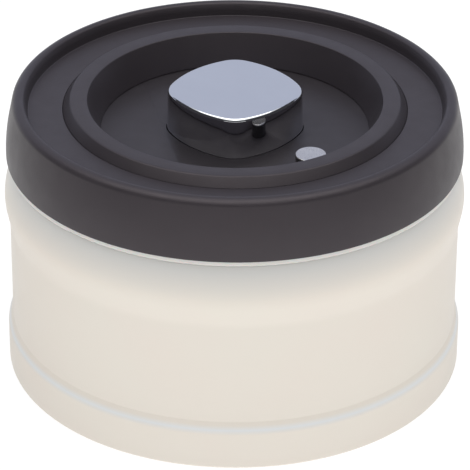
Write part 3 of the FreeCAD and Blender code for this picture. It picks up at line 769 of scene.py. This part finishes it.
PHOTO_WIDTH = 470    # pixels
FOCAL_PIXELS = 3176.0    # lens of the photograph, in its pixels
PHOTO_DISTANCE = 0.8782    # camera to the target
PHOTO_TARGET = Vector((0, 0, 0.040))
TARGET_PIXEL = (234.32, 221.46)    # where the target stands in the photograph
PHOTO_AZIMUTH = 45
PHOTO_ELEVATION = 29.41
PHOTO_ROLL = 0.369
SENSOR = 36.0    # millimetres, as a camera takes it
FILL_LIGHT = 0.42    # the world, on matt surfaces
FLOOR_SIZE = 12
FLOOR_DROP = 0.05 * MM
FLOOR_PAINT = (0.3, 0.3, 0.3, 1)
FLOOR_SEEN = 0.8    # the floor's own light, to the camera and in mirrors
BOUNCE = (0.45, 1.17)    # the floor's own light on matt surfaces, least and most
BOUNCE_AZIMUTH = 52
BOUNCE_BACK = 0.06    # how far behind the canister's axis the floor is darkest
BOUNCE_REACH = (0.025, 0.14)    # from there, where the light starts to grow and where it is full
CARD_DISTANCE = 1.1
CARD_RISE_STEPS = 12
CARD_ROUND_STEPS = 24
WHITE = (1, 1, 1, 1)
BLACK = (0, 0, 0, 1)
DARK = (0.05, 0.05, 0.055, 1)
SKY = (0.555, 0.59, 0.72, 1)


def toward(azimuth, elevation):
    """Unit vector from the canister; azimuth 0 is its front, and 90 its right side."""
    a = math.radians(azimuth)
    e = math.radians(elevation)
    return Vector((math.sin(a) * math.cos(e), -math.cos(a) * math.cos(e), math.sin(e)))


def add_camera():
    """Camera of the photograph, as fitted to the circles of the lid and the body."""
    back = toward(PHOTO_AZIMUTH, PHOTO_ELEVATION)
    place = PHOTO_TARGET + back * PHOTO_DISTANCE
    right = Matrix.Rotation(math.radians(PHOTO_ROLL), 3, back) @ toward(PHOTO_AZIMUTH + 90, 0)
    above = back.cross(right)
    pixel = PHOTO_DISTANCE / FOCAL_PIXELS
    aim = (PHOTO_TARGET + right * (PHOTO_WIDTH / 2 - TARGET_PIXEL[0]) * pixel
           - above * (PHOTO_WIDTH / 2 - TARGET_PIXEL[1]) * pixel)
    camera = bpy.data.objects.new("camera", bpy.data.cameras.new("camera"))
    bpy.context.scene.collection.objects.link(camera)
    away = (place - aim).normalized()
    side = above.cross(away).normalized()
    turned = Matrix((side, away.cross(side), away)).transposed().to_4x4()
    camera.matrix_world = Matrix.Translation(place) @ turned
    camera.data.sensor_width = SENSOR
    camera.data.lens = FOCAL_PIXELS / PHOTO_WIDTH * SENSOR
    bpy.context.scene.camera = camera


def seen_rays(tree):
    """1 for rays from the camera and for mirror and glass rays, 0 for the rest."""
    rays = tree.add("ShaderNodeLightPath").outputs
    mirrored = tree.maths("MAXIMUM", rays["Is Glossy Ray"], rays["Is Transmission Ray"])
    return tree.maths("MAXIMUM", rays["Is Camera Ray"], mirrored)


def add_world():
    """White where it is seen, and an even soft light elsewhere."""
    world = bpy.data.worlds.new("studio")
    world.use_nodes = True
    bpy.context.scene.world = world
    tree = NodeTree(world.node_tree)
    background = world.node_tree.nodes["Background"]
    background.inputs["Color"].default_value = WHITE
    strength = tree.spread(seen_rays(tree), FILL_LIGHT, 1.0, 0, 1)
    tree.link(strength, background.inputs["Strength"])


def floor_bounce(tree):
    """The floor's own light on matt surfaces: most in front of the canister and well behind it."""
    forward = tree.add("ShaderNodeVectorMath", operation="DOT_PRODUCT")
    forward.inputs[1].default_value = toward(BOUNCE_AZIMUTH, 0)
    tree.link(tree.add("ShaderNodeTexCoord").outputs["Object"], forward.inputs[0])
    past = tree.maths("ADD", forward.outputs["Value"], BOUNCE_BACK)
    return tree.spread(tree.maths("ABSOLUTE", past), *BOUNCE, *BOUNCE_REACH)


def add_floor():
    """Pale floor: near white where it is seen, with a soft shadow."""
    bpy.ops.object.select_all(action="DESELECT")
    bpy.ops.mesh.primitive_plane_add(size=FLOOR_SIZE, location=(0, 0, -FLOOR_DROP))
    floor = bpy.context.object
    floor.name = "studio_floor"
    paint = bpy.data.materials.new("floor_paint")
    paint.use_nodes = True
    paint.node_tree.nodes.clear()
    tree = NodeTree(paint.node_tree)
    lit = tree.add("ShaderNodeBsdfDiffuse")
    lit.inputs["Color"].default_value = FLOOR_PAINT
    glow = tree.add("ShaderNodeEmission")
    glow.inputs["Color"].default_value = WHITE
    tree.link(tree.spread(seen_rays(tree), floor_bounce(tree), FLOOR_SEEN, 0, 1), glow.inputs["Strength"])
    both = tree.add("ShaderNodeAddShader")
    tree.link(lit.outputs["BSDF"], both.inputs[0])
    tree.link(glow.outputs["Emission"], both.inputs[1])
    tree.link(both.outputs["Shader"], tree.add("ShaderNodeOutputMaterial").inputs["Surface"])
    floor.data.materials.append(paint)


def add_lamp(name, azimuth, elevation, distance, size, watts):
    """Square soft lamp that faces the canister."""
    way = toward(azimuth, elevation)
    lamp = bpy.data.objects.new(name, bpy.data.lights.new(name, "AREA"))
    bpy.context.scene.collection.objects.link(lamp)
    lamp.data.size = size
    lamp.data.energy = watts
    lamp.location = PHOTO_TARGET + way * distance
    lamp.rotation_euler = way.to_track_quat("Z", "Y").to_euler()


def add_card(name, azimuth, half_width, low, high, colour):
    """Curved studio card round the canister, between two elevations; it shows only in reflections."""
    start = azimuth - half_width
    card = start_point(name, PHOTO_TARGET + toward(start, low) * CARD_DISTANCE)
    bpy.ops.mesh.spin(steps=CARD_RISE_STEPS, angle=math.radians(low - high), center=PHOTO_TARGET,
                      axis=toward(start, 0).cross((0, 0, 1)))
    bpy.ops.mesh.select_all(action="SELECT")
    bpy.ops.mesh.spin(steps=CARD_ROUND_STEPS, angle=math.radians(-2 * half_width), center=PHOTO_TARGET,
                      axis=(0, 0, 1))
    bpy.ops.object.mode_set(mode="OBJECT")
    card.visible_camera = False
    card.visible_diffuse = False
    card.visible_shadow = False
    paint = Finish(name, BLACK, 0.5, Specular_IOR_Level=0.0, Emission_Color=colour, Emission_Strength=1.0)
    card.data.materials.append(paint.material)


add_camera()
add_world()
add_floor()
add_card("camera_side_card", azimuth=45, half_width=118, low=9, high=42, colour=DARK)
add_card("left_low_card", azimuth=-34, half_width=39, low=-1, high=9, colour=DARK)
add_card("right_low_card", azimuth=124, half_width=39, low=-1, high=9, colour=DARK)
add_card("back_card", azimuth=225, half_width=70, low=2, high=88, colour=SKY)
add_lamp("overhead", azimuth=45, elevation=90, distance=1.2, size=1.7, watts=13)

scene = bpy.context.scene
scene.view_settings.view_transform = "Standard"
